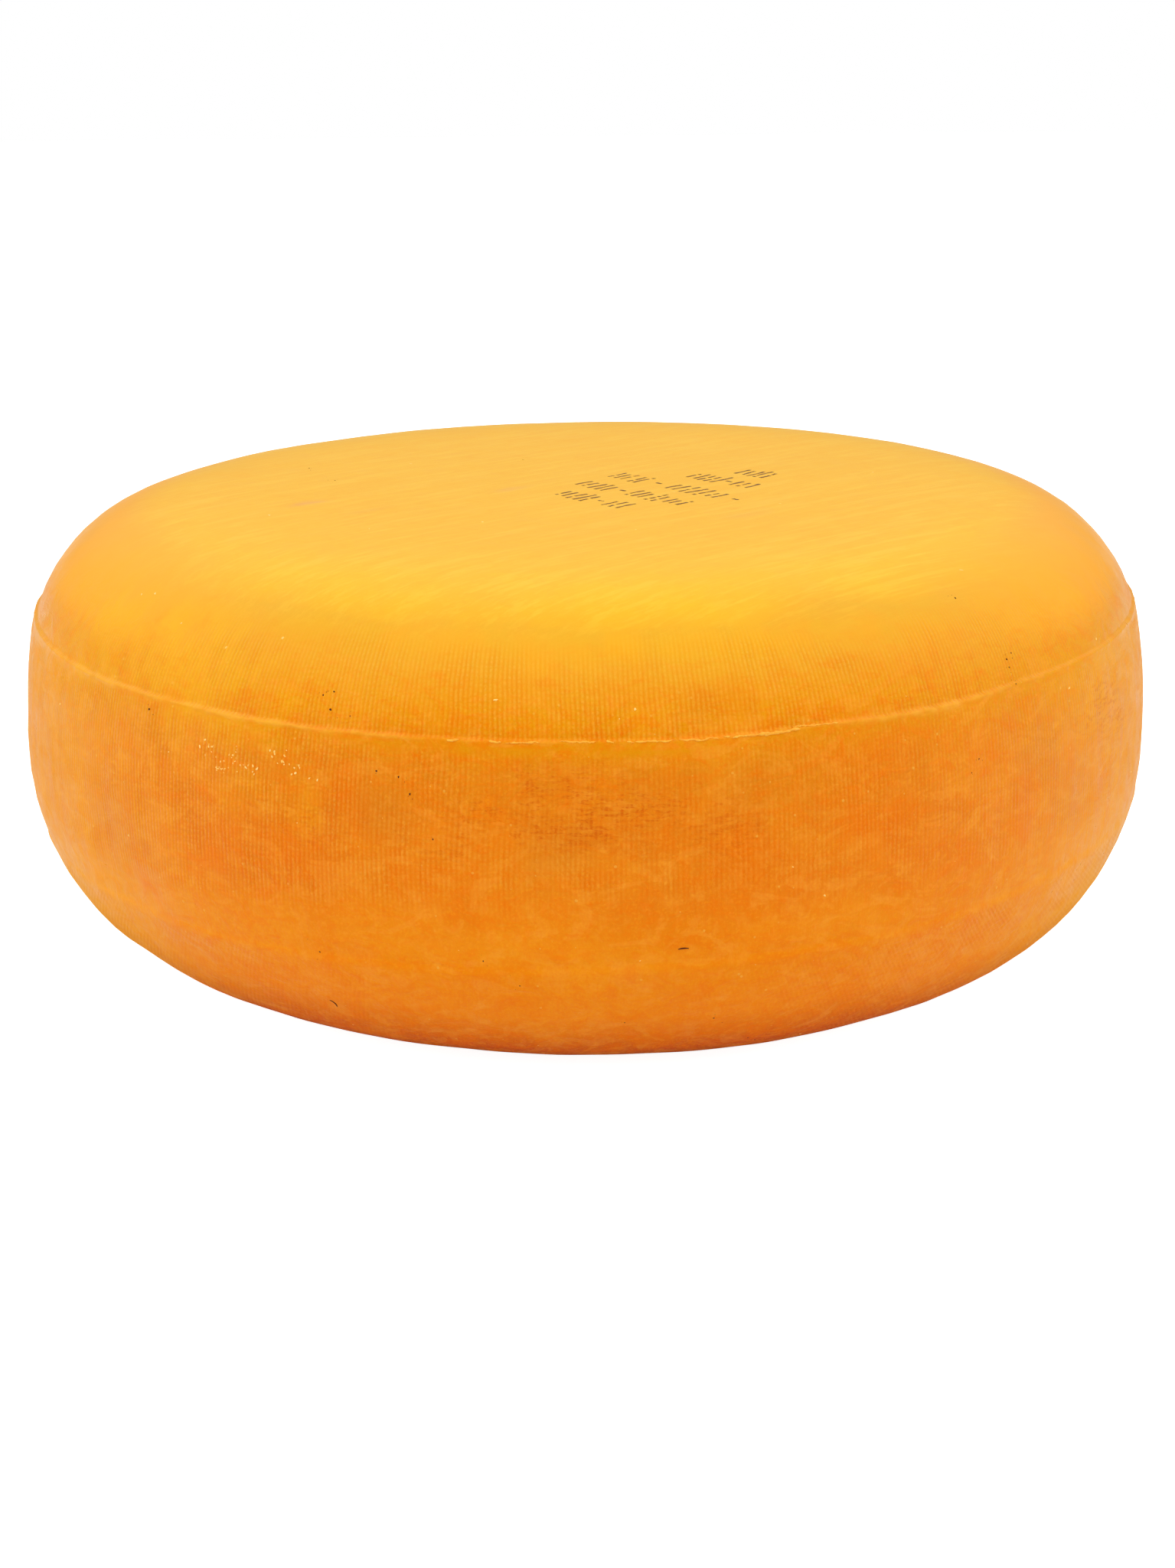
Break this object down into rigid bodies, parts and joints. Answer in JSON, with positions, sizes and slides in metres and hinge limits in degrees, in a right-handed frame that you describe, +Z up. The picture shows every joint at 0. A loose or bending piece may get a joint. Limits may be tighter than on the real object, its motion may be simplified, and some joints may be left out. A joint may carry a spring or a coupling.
{
  "type": "cheese wheel",
  "caption": "Whole uncut wheel of semi-hard cheese in a glossy orange-yellow coat, with a rounded shoulder, a raised press seam and fine ribs round the side.",
  "frame": {"origin": "middle of the wheel's outline, on the surface it rests on", "axes": "+Z up through the wheel, -Y towards the side shown at the front, +X to its right"},
  "size_m": [0.354, 0.3458, 0.1323],
  "materials": {
    "coated_rind": "thin food coating on cheese rind, satin, yellow on top and deeper orange down the side"
  },
  "bodies": {
    "root": {"cheese_wheel": "coated_rind"}
  },
  "joints": []
}
